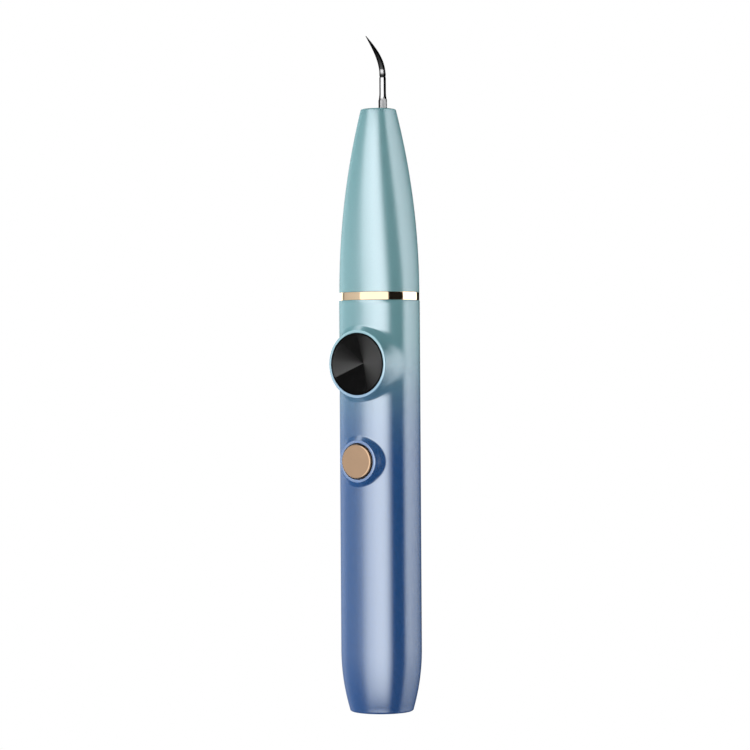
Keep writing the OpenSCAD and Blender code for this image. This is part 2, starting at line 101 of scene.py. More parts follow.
def barrel_r(z):
    return tail_r(z) if z < TAIL_Z else BODY_R


# ---------------------------------------------------------------- mesh helpers
def make_object(name, verts, faces, sharp=40):
    mesh = bpy.data.meshes.new(name)
    mesh.from_pydata([tuple(c * MM for c in v) for v in verts], [], faces)
    mesh.validate()
    mesh.update()
    obj = bpy.data.objects.new(name, mesh)
    bpy.context.collection.objects.link(obj)
    mesh.shade_smooth()
    if sharp:
        mesh.set_sharp_from_angle(angle=radians(sharp))
    return obj


def filleted(points, radii, steps=4):
    """The outline with each inner corner rounded by an arc of its own radius."""
    out = [points[0]]
    for k in range(1, len(points) - 1):
        r = radii[k]
        p, a, b = Vector(points[k]), Vector(points[k - 1]), Vector(points[k + 1])
        if not r:
            out.append(tuple(p))
            continue
        u, v = (a - p).normalized(), (b - p).normalized()
        half = acos(max(-1, min(1, u.dot(v)))) / 2
        reach = r / tan(half)
        centre = p + (u + v).normalized() * (r / sin(half))
        start, end = p + u * reach - centre, p + v * reach - centre
        sweep = start.angle(end)
        for s in range(steps + 1):
            t = s / steps
            w0, w1 = sin((1 - t) * sweep) / sin(sweep), sin(t * sweep) / sin(sweep)
            out.append(tuple(centre + start * w0 + end * w1))
    out.append(points[-1])
    return out


def revolve(name, profile, turns=128, place=None, sharp=40):
    """A turned solid from a closed outline of (radius, height) pairs. It turns about Z, then place
    moves it."""
    place = place or Matrix.Identity(4)
    verts, faces, rows = [], [], []
    for r, h in profile:
        if r < 1e-6:
            rows.append([len(verts)])
            verts.append(tuple(place @ Vector((0, 0, h))))
        else:
            rows.append(list(range(len(verts), len(verts) + turns)))
            for k in range(turns):
                a = 2 * pi * k / turns
                verts.append(tuple(place @ Vector((r * cos(a), r * sin(a), h))))
    closed = rows[0] if len(rows[0]) > 1 else None
    pairs = list(zip(rows, rows[1:])) + ([(rows[-1], closed)] if closed else [])
    for low, high in pairs:
        for k in range(turns):
            n = (k + 1) % turns
            if len(low) == 1 and len(high) == 1:
                continue
            if len(low) == 1:
                faces.append((low[0], high[n], high[k]))
            elif len(high) == 1:
                faces.append((low[k], low[n], high[0]))
            else:
                faces.append((low[k], low[n], high[n], high[k]))
    return make_object(name, verts, faces, sharp)


def facing(z):
    """Places a turned piece with its axis pointing forward, at height z."""
    return Matrix.Translation((0, 0, z)) @ Matrix.Rotation(radians(90), 4, "X")


# ---------------------------------------------------------------- the grip's housing
def cubic(t, a, b, c, d):
    return a * (1 - t) ** 3 + 3 * b * t * (1 - t) ** 2 + 3 * c * t * t * (1 - t) + d * t ** 3


class Boss:
    """A round pod that stands out of the barrel, with its outline from the bore to the barrel.

    lip_in and lip_out round its rim, lead_top and lead_side say how far its flare reaches above and
    beside it, wall is the straight share of its side, and bend makes the flare hollow rather than
    straight."""

    ARC, WALL_ROWS, FILLET_ROWS = 6, 3, 14
    LEAST, HANDLE, DIVE, LIFT = 0.02, 0.3, 0.2, 0.1

    def __init__(
        self, z, radius, front, bore, floor, inner, lip_in, lip_out, lead_top, lead_side, wall, bend
    ):
        self.z, self.radius, self.front, self.bore = z, radius, front, bore
        self.floor, self.inner = floor, inner
        self.lip_in, self.lip_out = lip_in, lip_out
        self.lead_top, self.lead_side = lead_top, lead_side
        self.wall, self.bend = wall, bend

    def outline(self, psi):
        """(rho, y) pairs in the half plane at angle psi about the pod's axis, ending on the barrel."""
        c2 = cos(psi) ** 2
        lip_out = LIP_THIN + (self.lip_out - LIP_THIN) * c2

        def barrel(rho):
            return -sqrt(BODY_R ** 2 - rho * rho * c2)

        points = [(self.inner, -self.floor), (self.bore, -self.floor)]
        for k in range(self.ARC + 1):
            a = pi / 2 * k / self.ARC
            points.append((self.bore + self.lip_in * (1 - cos(a)), -self.front + self.lip_in * (1 - sin(a))))
        for k in range(self.ARC + 1):
            a = pi / 2 * k / self.ARC
            points.append((self.radius - lip_out * (1 - sin(a)), -self.front + lip_out * (1 - cos(a))))
        shoulder = -self.front + lip_out
        foot = barrel(self.radius)
        height = max(foot - shoulder, self.LEAST)
        lead = self.lead_top + (self.lead_side - self.lead_top) * c2
        tilt = self.radius * c2 / -foot
        rho = self.radius + lead / sqrt(1 + tilt * tilt)
        end = (rho, barrel(rho))
        slope = rho * c2 / -end[1]
        start = (self.radius, shoulder + height * self.wall * c2)
        for k in range(1, self.WALL_ROWS):
            points.append((self.radius, shoulder + (start[1] - shoulder) * k / self.WALL_ROWS))
        run, drop = end[0] - start[0], end[1] - start[1]
        bend = self.bend * c2
        dive = self.HANDLE + self.DIVE * bend
        steer_in = (start[0] + run * self.HANDLE * (1 - bend), start[1] + drop * dive)
        soften = lead * (SOFTEN_LEAST + SOFTEN * c2) / sqrt(1 + slope * slope)
        steer_out = (end[0] - soften, end[1] - drop * self.LIFT * (1 - c2) - soften * slope)
        for k in range(self.FILLET_ROWS + 1):
            t = k / self.FILLET_ROWS
            points.append(tuple(cubic(t, *places) for places in zip(start, steer_in, steer_out, end)))
        return points


def perimeter(c0, c1, r0, r1):
    """Grid corners round a hole, anticlockwise as seen from the front, from the lower right corner."""
    walk = [(c1, r) for r in range(r0, r1)] + [(c, r1) for c in range(c1, c0, -1)]
    return walk + [(c0, r) for r in range(r1, r0, -1)] + [(c, r0) for c in range(c0, c1)]


FRONT_CELLS, REAR_CELLS, BTN_CELLS = 60, 64, 32
FRONT_SPAN, POD_SPAN, BTN_SPAN = 84.0, 13.8, 8.6
BLEND_STEPS, EDGE_STEPS = 7, 5


def spread(a, b, n):
    """n evenly spaced values from a up to, but without, b."""
    return [a + (b - a) * k / n for k in range(n)]


def grip_housing():
    """The barrel as a grid with two square holes, each filled by a pod whose skirt meets the hole's edge."""
    front_gap = 2 * FRONT_SPAN
    angles = [-FRONT_SPAN + front_gap * k / FRONT_CELLS for k in range(FRONT_CELLS + 1)]
    angles += [FRONT_SPAN + (360 - front_gap) * k / REAR_CELLS for k in range(1, REAR_CELLS)]
    columns = len(angles)

    heights = spread(TAIL_EDGE, TAIL_Z, 14) + spread(TAIL_Z, BTN_Z - BTN_SPAN, 16)
    btn_row = len(heights)
    heights += spread(BTN_Z - BTN_SPAN, BTN_Z + BTN_SPAN, BTN_CELLS)
    heights += spread(BTN_Z + BTN_SPAN, DISP_Z - POD_SPAN, 5)
    pod_row = len(heights)
    heights += spread(DISP_Z - POD_SPAN, DISP_Z + POD_SPAN, FRONT_CELLS)
    heights += spread(DISP_Z + POD_SPAN, GRIP_TOP - TOP_EDGE, 5) + [GRIP_TOP - TOP_EDGE]

    verts, faces, grid = [], [], {}
    for i, z in enumerate(heights):
        for j, a in enumerate(angles):
            grid[(j, i)] = len(verts)
            r = barrel_r(z)
            verts.append((r * sin(radians(a)), -r * cos(radians(a)), z))
    side = (FRONT_CELLS - BTN_CELLS) // 2
    holes = [
        (0, FRONT_CELLS, pod_row, pod_row + FRONT_CELLS),
        (side, side + BTN_CELLS, btn_row, btn_row + BTN_CELLS),
    ]

    def inside(j, i):
        return any(c0 <= j < c1 and r0 <= i < r1 for c0, c1, r0, r1 in holes)

    for i in range(len(heights) - 1):
        for j in range(columns):
            if not inside(j, i):
                n = (j + 1) % columns
                faces.append((grid[(j, i)], grid[(n, i)], grid[(n, i + 1)], grid[(j, i + 1)]))

    bosses = [
        Boss(DISP_Z, POD_R, POD_Y, POD_BORE, SHELF_Y, SHELF_R, 0.2, 0.6, 1.3, 3.0, 0.05, 1.0),
        Boss(BTN_Z, BOSS_R, BOSS_Y, BTN_BORE, 9.6, 5.4, 0.15, 0.4, 1.4, 2.05, 0.0, 0.0),
    ]
    for boss, (c0, c1, r0, r1) in zip(bosses, holes):
        rim = perimeter(c0, c1, r0, r1)
        count = len(rim)
        rings = []
        for k, (j, i) in enumerate(rim):
            psi = -pi / 4 + 2 * pi * k / count
            column = []
            for rho, y in boss.outline(psi):
                column.append((rho * cos(psi), y, boss.z + rho * sin(psi)))
            x, y, z = column[-1]
            a0, z0 = atan2(x, -y), z
            a1, z1 = radians(angles[j]), heights[i]
            for s in range(1, BLEND_STEPS):
                t = s / BLEND_STEPS
                a, zz = a0 + (a1 - a0) * t, z0 + (z1 - z0) * t
                column.append((BODY_R * sin(a), -BODY_R * cos(a), zz))
            start = len(verts)
            verts.extend(column)
            ids = list(range(start, start + len(column))) + [grid[(j, i)]]
            rings.append(ids)
        for k in range(count):
            here, after = rings[k], rings[(k + 1) % count]
            for m in range(len(here) - 1):
                faces.append((here[m], here[m + 1], after[m + 1], after[m]))

    # the tail's rounded edge and seat, and the top edge and throat
    def add_loop(r, z):
        start = len(verts)
        for a in angles:
            verts.append((r * sin(radians(a)), -r * cos(radians(a)), z))
        return list(range(start, start + columns))

    def join(low, high):
        for j in range(columns):
            n = (j + 1) % columns
            faces.append((low[j], low[n], high[n], high[j]))

    edge = tail_r(TAIL_EDGE) - TAIL_EDGE
    last = [grid[(j, 0)] for j in range(columns)]
    for k in range(1, EDGE_STEPS + 1):
        a = radians(90 * k / EDGE_STEPS)
        loop = add_loop(edge + TAIL_EDGE * cos(a), TAIL_EDGE - TAIL_EDGE * sin(a))
        join(loop, last)
        last = loop
    seat = [(CAP_SEAT_R + SEAT_EDGE, 0.0), (CAP_SEAT_R, SEAT_EDGE), (CAP_SEAT_R, SEAT_DEPTH)]
    seat += [(LEDGE_R, SEAT_DEPTH), (LEDGE_R, LEDGE_Z), (HOLLOW_R, LEDGE_Z)]
    for r, z in seat:
        loop = add_loop(r, z)
        join(loop, last)
        last = loop
    last = [grid[(j, len(heights) - 1)] for j in range(columns)]
    mouth = [(BODY_R - TOP_BREAK, GRIP_TOP - TOP_BREAK), (BODY_R - TOP_EDGE, GRIP_TOP), (THROAT_R, GRIP_TOP)]
    mouth += [(THROAT_R, THROAT_Z), (HOLLOW_TOP_R, HOLLOW_TOP_Z)]
    for r, z in mouth:
        loop = add_loop(r, z)
        join(last, loop)
        last = loop
    return make_object("grip_housing", verts, faces, 32)


def nose_skin():
    lip, arris, steps = 0.45, 0.1, 56
    low, top = RING_TOP + arris, MOUTH_Z - lip
    throat = THROAT_R + 0.05
    outline = [(throat, NOSE_THROAT_Z), (throat, RING_TOP), (nose_r(RING_TOP) - arris, RING_TOP)]
    outline += [(nose_r(z), z) for z in [low + (top - low) * k / steps for k in range(steps + 1)]]
    r = nose_r(top)
    for k in range(1, 7):
        a = radians(15 * k)
        outline.append((r - lip * (1 - cos(a)) - arris * k / 6, top + lip * sin(a)))
    outline += [(MOUTH_BORE + MOUTH_EDGE, MOUTH_Z), (MOUTH_BORE, MOUTH_Z - MOUTH_EDGE)]
    outline += [(MOUTH_BORE, MOUTH_STEP_Z + 0.05), (MOUTH_STEP_R, MOUTH_STEP_Z), (NOSE_CONE_R, NOSE_CONE_TOP)]
    outline += [(NOSE_HOLLOW_R, NOSE_CONE_Z), (NOSE_HOLLOW_R, NOSE_STEP_Z + 0.1), (NOSE_STEP_R, NOSE_STEP_Z)]
    return revolve("nose_skin", outline + [(NOSE_STEP_R, NOSE_THROAT_Z + 0.5)], 160, sharp=32)


def ring_band():
    inset, arris, r = 0.02, 0.1, 12.36
    low, high = GRIP_TOP + inset, RING_TOP - inset
    outline = filleted([(THROAT_R, low), (r, low), (r, high), (THROAT_R, high)], [0, arris, arris, 0])
    return revolve("ring_band", outline, 160, sharp=50)


def glass_disc():
    r, face, back = GLASS_R, GLASS_FACE, GLASS_BACK
    outline = [(0, back)] + filleted([(0, back), (r, back), (r, face), (0, face)], [0, 0.05, 0.14, 0])[1:-1]
    crown, steps = 0.03, 12
    flat = r - 0.2
    for k in range(1, steps):
        t = 1 - k / steps
        outline.append((flat * t, face + crown * (1 - t * t)))
    return revolve("glass_disc", outline + [(0, face + crown)], 128, facing(DISP_Z), 30)


def button_cap():
    r, face, edge, steps = CAP_R, CAP_Y, CAP_EDGE, 5
    back = face - 2.4
    outline = [(0, back), (r - 0.1, back), (r, back + 0.1), (r, face - edge)]
    for k in range(1, steps + 1):
        a = pi / 2 * k / steps
        outline.append((r - edge * (1 - cos(a)), face - edge * (1 - sin(a))))
    outline += [((r - edge) * k / 10, face) for k in (9.6, 8, 6, 4, 2)] + [(0, face)]
    return revolve("button_cap", outline, 128, facing(BTN_Z), 35)


# ---------------------------------------------------------------- the tip
# the base with its wrench flats, the neck, the shank and the bead below the blade
BASE_R, FLAT, FLAT_TURN = 1.45, 1.1, radians(51)
NECK_Z, SHANK_Z, SHANK_R, BEAD_Z = 189.4, 192.0, 1.02, 197.2
# how far the blade's point stands forward of the tip's axis, and its height
REACH, POINT_Z = 9.35, 208.4


def blade_point(t):
    rise = cubic(t, BEAD_Z - 0.3, BEAD_Z + 4.2, POINT_Z - 4.1, POINT_Z - 0.1)
    return Vector((0, -cubic(t, 0, 0, 3.6, REACH), rise))


def blade_radius(t):
    return 0.11 + 0.86 * (1 - t ** 2.1)


def square_r(angle, flat, radius):
    """Radius of a round bar with four flats."""
    a = (angle - FLAT_TURN + pi / 4) % (pi / 2) - pi / 4
    return min(flat / cos(a), radius)


def tip_piece():
    sides = 96
    rings = []

    def turned(r, z):
        turns = [2 * pi * k / sides for k in range(sides)]
        rings.append([(r * cos(a), r * sin(a) + TIP_Y, z) for a in turns])

    def milled(flat, z, radius=BASE_R):
        ring = []
        for k in range(sides):
            a = 2 * pi * k / sides
            r = square_r(a, flat, radius)
            ring.append((r * cos(a), r * sin(a) + TIP_Y, z))
        rings.append(ring)

    for r, z in ((0.75, 178.0), (0.93, 178.2)):
        turned(r, z)
    z = 178.3
    while z < 180.6:
        turned(0.93, z)
        turned(0.8, z + 0.2)
        z += 0.4
    for r, z in ((0.9, 181.0), (1.35, 181.0), (1.44, 181.1)):
        turned(r, z)
    for r, z in ((1.44, 183.3), (0.99, 183.34), (0.99, 183.86), (1.44, 183.9)):
        turned(r, z)
    turned(1.44, 185.9)
    milled(FLAT + 0.02, 186.02)
    for k in range(1, 6):
        milled(FLAT, 186.02 + (NECK_Z - 186.06) * k / 5, BASE_R - 0.01)
    neck, steps = SHANK_Z - NECK_Z, 20
    for k in range(1, steps + 1):
        a = pi / 2 * k / steps
        r = BASE_R - 0.01 - (BASE_R - 0.01 - SHANK_R) * sin(a)
        milled(FLAT, SHANK_Z - neck * cos(a), r)
    turned(SHANK_R, 194.0)
    turned(SHANK_R, 196.3)
    for r, z in ((1.0, 196.42), (0.93, 196.55), (0.93, 196.95), (1.0, 197.1), (1.02, 197.3), (1.0, 197.5)):
        turned(r, z)
    steps = 44
    for k in range(4, steps + 1):
        t = k / steps
        p, ahead, back = blade_point(t), blade_point(min(t + 0.01, 1)), blade_point(max(t - 0.01, 0))
        along = (ahead - back).normalized()
        across = Vector((1, 0, 0))
        up = along.cross(across)
        r = blade_radius(t)
        ring = []
        for s in range(sides):
            a = 2 * pi * s / sides
            q = p + across * (r * cos(a)) + up * (r * sin(a))
            ring.append((q.x, q.y + TIP_Y, q.z))
        rings.append(ring)
    end = blade_point(1) + (blade_point(1) - blade_point(0.99)).normalized() * 0.1
    verts = [v for ring in rings for v in ring]
    faces = [tuple(reversed(range(sides)))]
    for k in range(len(rings) - 1):
        for s in range(sides):
            n = (s + 1) % sides
            a, b = k * sides, (k + 1) * sides
            faces.append((a + s, a + n, b + n, b + s))
    verts.append((end.x, end.y + TIP_Y, end.z))
    top = (len(rings) - 1) * sides
    for s in range(sides):
        faces.append((top + s, top + (s + 1) % sides, len(verts) - 1))
    return make_object("tip_piece", verts, faces, 35)


# ---------------------------------------------------------------- materials
def new_material(name):
    mat = bpy.data.materials.new(name)
    mat.use_nodes = True
    tree = mat.node_tree
    tree.nodes.clear()
    out = tree.nodes.new("ShaderNodeOutputMaterial")
    bsdf = tree.nodes.new("ShaderNodeBsdfPrincipled")
    tree.links.new(bsdf.outputs[0], out.inputs[0])
    return mat, tree, bsdf


def add(tree, kind, **values):
    node = tree.nodes.new(kind)
    for key, value in values.items():
        if key in node.inputs:
            node.inputs[key].default_value = value
        else:
            setattr(node, key, value)
    return node


def coordinates(tree):
    return tree.nodes.new("ShaderNodeTexCoord").outputs["Object"]


def noise(tree, scale, detail=3.0, rough=0.5, stretch=(1, 1, 1)):
    mapping = add(tree, "ShaderNodeMapping")
    mapping.inputs["Scale"].default_value = stretch
    tree.links.new(coordinates(tree), mapping.inputs["Vector"])
    tex = add(tree, "ShaderNodeTexNoise", Scale=scale, Detail=detail, Roughness=rough)
    tree.links.new(mapping.outputs[0], tex.inputs["Vector"])
    return tex.outputs["Fac"]


def spread_value(tree, source, low, high, from_low=0.3, from_high=0.7):
    node = tree.nodes.new("ShaderNodeMapRange")
    node.inputs["From Min"].default_value = from_low
    node.inputs["From Max"].default_value = from_high
    node.inputs["To Min"].default_value = low
    node.inputs["To Max"].default_value = high
    tree.links.new(source, node.inputs["Value"])
    return node.outputs[0]


def ramp(tree, source, stops):
    node = tree.nodes.new("ShaderNodeValToRGB")
    elements = node.color_ramp.elements
    while len(elements) < len(stops):
        elements.new(0.5)
    for element, (pos, color) in zip(elements, stops):
        element.position = pos
        element.color = (*color, 1) if len(color) == 3 else color
    tree.links.new(source, node.inputs["Fac"])
    return node.outputs["Color"]


def calc(tree, operation, *inputs):
    """A math node whose inputs are each a socket or a plain number."""
    node = add(tree, "ShaderNodeMath", operation=operation)
    for socket, value in zip(node.inputs, inputs):
        if isinstance(value, (int, float)):
            socket.default_value = value
        else:
            tree.links.new(value, socket)
    return node.outputs[0]


def split(tree):
    """The three object coordinates."""
    xyz = tree.nodes.new("ShaderNodeSeparateXYZ")
    tree.links.new(coordinates(tree), xyz.inputs[0])
    return xyz.outputs["X"], xyz.outputs["Y"], xyz.outputs["Z"]


def away_from(tree, x, z, height):
    """The distance from the axis that points forward at a height in mm."""
    flat = add(tree, "ShaderNodeCombineXYZ")
    tree.links.new(x, flat.inputs[0])
    tree.links.new(calc(tree, "SUBTRACT", z, height * MM), flat.inputs[2])
    away = add(tree, "ShaderNodeVectorMath", operation="LENGTH")
    tree.links.new(flat.outputs[0], away.inputs[0])
    return away.outputs["Value"]


def mixed(tree, a, b, factor=1.0, blend="MULTIPLY"):
    """Two colours mixed by a factor, which is a socket or a plain number."""
    node = add(tree, "ShaderNodeMix", data_type="RGBA", blend_type=blend)
    if isinstance(factor, float):
        node.inputs["Factor"].default_value = factor
    else:
        tree.links.new(factor, node.inputs["Factor"])
    tree.links.new(a, node.inputs["A"])
    tree.links.new(b, node.inputs["B"])
    return node.outputs["Result"]


def bump(tree, bsdf, height, strength, distance=0.0001):
    node = add(tree, "ShaderNodeBump", Strength=strength, Distance=distance)
    tree.links.new(height, node.inputs["Height"])
    tree.links.new(node.outputs[0], bsdf.inputs["Normal"])


def srgb(*rgb):
    return tuple(((c / 255 + 0.055) / 1.055) ** 2.4 if c > 10 else c / 255 / 12.92 for c in rgb)


def lip_highlight_mask(tree, x, y, z):
    """1 on the front lips of the two pods, where the painted highlight goes, 0 elsewhere."""
    forward = spread_value(tree, y, 0.0, 1.0, -LIP_LOW * MM, -LIP_HIGH * MM)
    rounds = []
    for height, radius in ((DISP_Z, POD_R), (BTN_Z, BOSS_R)):
        away = away_from(tree, x, z, height)
        rounds.append(spread_value(tree, away, 1.0, 0.0, (radius - 0.1) * MM, (radius + 0.02) * MM))
    return calc(tree, "MULTIPLY", forward, calc(tree, "MAXIMUM", *rounds))


def paint(name):
    """Satin pearl lacquer whose colour changes with height, painted lighter on the pods' lips as a painted
    highlight.
    """
    mat, tree, bsdf = new_material(name)
    x, y, z = split(tree)
    level = spread_value(tree, z, 0.0, 1.0, 0.0, FADE_TOP * MM)
    # edge is 1 on the pods' lips, where the lacquer is painted lighter as a painted highlight
    edge = lip_highlight_mask(tree, x, y, z)
    color = mixed(tree, ramp(tree, level, FADE_STOPS), ramp(tree, level, LIP_HIGHLIGHT_STOPS), edge, "MIX")
    flake = noise(tree, 9000.0, 2.0)
    cloud = noise(tree, 60.0, 2.0)
    speck = ramp(tree, flake, [(0.35, (0.94, 0.94, 0.94)), (0.65, (1.06, 1.06, 1.06))])
    tree.links.new(mixed(tree, color, speck), bsdf.inputs["Base Color"])
    tree.links.new(spread_value(tree, cloud, 0.165, 0.185), bsdf.inputs["Roughness"])
    bsdf.inputs["IOR"].default_value = PEARL_IOR
    bsdf.inputs["Specular Tint"].default_value = PEARL_TINT
    bump(tree, bsdf, flake, 0.02)
    return mat


PEARL_IOR = 4.2
PEARL_TINT = (0.86, 0.93, 1.0, 1.0)
# the lacquer's colour up the handle, as (height in mm, colour)
FADE = [
    (0, (0.0115, 0.053, 0.172)), (30, (0.0065, 0.051, 0.17)), (66, (0.005, 0.0505, 0.169)),
    (77.7, (0.008, 0.0545, 0.176)), (83.9, (0.0145, 0.067, 0.178)), (90, (0.027, 0.085, 0.188)),
    (96.3, (0.043, 0.112, 0.196)), (102.5, (0.068, 0.158, 0.22)), (108.7, (0.09, 0.2, 0.238)),
    (115, (0.1, 0.225, 0.25)), (127, (0.106, 0.236, 0.254)), (140, (0.112, 0.244, 0.262)),
    (190, (0.114, 0.246, 0.263)),
]
# the pods' lips, which carry a painted highlight, stand further forward than LIP_LOW mm
LIP_LOW, LIP_HIGH = 12.66, 12.8
# the painted highlight's colour on the pods' lips up the handle, as (height in mm, colour)
LIP_HIGHLIGHTS = [
    (70, (0.1, 0.18, 0.37)), (85, (0.1, 0.18, 0.37)), (96, (0.2, 0.33, 0.49)),
    (105, (0.21, 0.37, 0.46)), (120, (0.22, 0.41, 0.45)),
]
FADE_GAIN = 1.15
FADE_TOP = 190.0
# the painted highlight's colour stops along the height
LIP_HIGHLIGHT_STOPS = [(z / FADE_TOP, color) for z, color in LIP_HIGHLIGHTS]
FADE_STOPS = [(z / FADE_TOP, tuple(c * FADE_GAIN for c in color)) for z, color in FADE]


def gold(name, low=(0.93, 0.7, 0.47), high=(0.97, 0.75, 0.52), rough=0.05):
    mat, tree, bsdf = new_material(name)
    bsdf.inputs["Metallic"].default_value = 1.0
    fine = noise(tree, 3000.0, 3.0)
    wide = noise(tree, 120.0, 2.0)
    tree.links.new(ramp(tree, wide, [(0.3, low), (0.7, high)]), bsdf.inputs["Base Color"])
    tree.links.new(spread_value(tree, fine, rough * 0.8, rough * 1.3), bsdf.inputs["Roughness"])
    bump(tree, bsdf, fine, 0.02)
    return mat


# the glass's print: brightness by the angle about its middle, in degrees, as a conic gradient
PRINT = [
    (-180, 68), (-158.4, 86), (-157.2, 9), (-120, 10), (-88, 11), (-80, 22), (-70, 40), (-55, 56),
    (-40, 66), (-20, 73), (0, 77), (30, 75), (60, 69), (78, 61), (88, 50), (96, 36), (104, 22),
    (112, 15), (124, 14), (138, 19), (152, 31), (165, 45), (180, 68),
]
PRINT_X, PRINT_Z = 0.0024, 0.1076
PRINT_GAIN = 0.46
# where the black border round the print starts and is full, in metres from the middle
PRINT_BORDER = (0.00895, 0.0092)


def black_glass(name):
    """Black printed glass: the print fades round a point, as conic gradients do, with one hard edge."""
    mat, tree, bsdf = new_material(name)
    x, _, z = split(tree)
    dx, dz = calc(tree, "SUBTRACT", x, PRINT_X), calc(tree, "SUBTRACT", z, PRINT_Z)
    level = spread_value(tree, calc(tree, "ARCTAN2", dz, dx), 0.0, 1.0, -pi, pi)
    shades = [((a + 180) / 360, tuple(c * PRINT_GAIN for c in srgb(v, v, v))) for a, v in PRINT]
    border = spread_value(tree, away_from(tree, x, z, DISP_Z), 1.0, 0.02, *PRINT_BORDER)
    tree.links.new(mixed(tree, ramp(tree, level, shades), border), bsdf.inputs["Base Color"])
    smear = noise(tree, 400.0, 3.0)
    tree.links.new(spread_value(tree, smear, 0.04, 0.09), bsdf.inputs["Roughness"])
    bsdf.inputs["Specular IOR Level"].default_value = 0.12
    return mat


def steel(name, color_low, color_high, rough, stretch=(1, 1, 1), scale=2500.0):
    mat, tree, bsdf = new_material(name)
    bsdf.inputs["Metallic"].default_value = 1.0
    grain = noise(tree, scale, 3.0, 0.6, stretch)
    tree.links.new(ramp(tree, grain, [(0.3, color_low), (0.7, color_high)]), bsdf.inputs["Base Color"])
    tree.links.new(spread_value(tree, grain, rough * 0.75, rough * 1.3), bsdf.inputs["Roughness"])
    bump(tree, bsdf, grain, 0.05)
    return mat


# the tip's finish up its length, as (height in mm, brightness of the metal, roughness)
TIP_FINISH = [
    (178, 0.8, 0.3), (189.5, 0.82, 0.34), (190.2, 0.72, 0.1), (196.3, 0.72, 0.1), (196.5, 0.03, 0.2),
    (197.2, 0.03, 0.2), (197.6, 0.3, 0.2), (198.1, 0.66, 0.35), (198.7, 0.66, 0.35),
    (198.95, 0.09, 0.35), (208.5, 0.05, 0.35),
]


def tip_steel(name):
    """Ground base, polished shank with a bright band, and a blade with a black coating."""
    mat, tree, bsdf = new_material(name)
    bsdf.inputs["Metallic"].default_value = 1.0
    z = split(tree)[2]
    low, high = TIP_FINISH[0][0], TIP_FINISH[-1][0]
    level = spread_value(tree, z, 0.0, 1.0, low * MM, high * MM)
    places = [(height - low) / (high - low) for height, _, _ in TIP_FINISH]
    shade = ramp(tree, level, [(p, (v, v, v * 1.01)) for p, (_, v, _) in zip(places, TIP_FINISH)])
    rough = ramp(tree, level, [(p, (r, r, r)) for p, (_, _, r) in zip(places, TIP_FINISH)])
    grain = noise(tree, 2500.0, 3.0, 0.6, (1, 1, 0.15))
    worn = ramp(tree, grain, [(0.3, (0.92, 0.92, 0.92)), (0.7, (1.06, 1.06, 1.06))])
    tree.links.new(mixed(tree, shade, worn), bsdf.inputs["Base Color"])
    uneven = spread_value(tree, grain, 0.85, 1.2)
    tree.links.new(calc(tree, "MULTIPLY", rough, uneven), bsdf.inputs["Roughness"])
    bump(tree, bsdf, grain, 0.05)
    return mat


def moulded(name, color, rough, metallic=0.0, scale=1800.0, vary=0.1, depth=0.15):
    """Moulded or coated surface with fine texture and slight changes of shade."""
    mat, tree, bsdf = new_material(name)
    bsdf.inputs["Metallic"].default_value = metallic
    fine = noise(tree, scale, 4.0)
    wide = noise(tree, 90.0, 2.0)
    dark = tuple(c * (1 - vary) for c in color)
    light = tuple(min(1.0, c * (1 + vary)) for c in color)
    tree.links.new(ramp(tree, wide, [(0.3, dark), (0.7, light)]), bsdf.inputs["Base Color"])
    tree.links.new(spread_value(tree, fine, rough * 0.85, min(1.0, rough * 1.15)), bsdf.inputs["Roughness"])
    bump(tree, bsdf, fine, depth)
    return mat


def clear_plastic(name):
    mat, tree, bsdf = new_material(name)
    bsdf.inputs["Transmission Weight"].default_value = 1.0
    bsdf.inputs["IOR"].default_value = 1.49
    fine = noise(tree, 700.0, 2.0)
    tint = ramp(tree, fine, [(0.3, (0.88, 0.94, 0.97)), (0.7, (0.93, 0.97, 0.99))])
    tree.links.new(tint, bsdf.inputs["Base Color"])
    tree.links.new(spread_value(tree, fine, 0.06, 0.14), bsdf.inputs["Roughness"])
    return mat


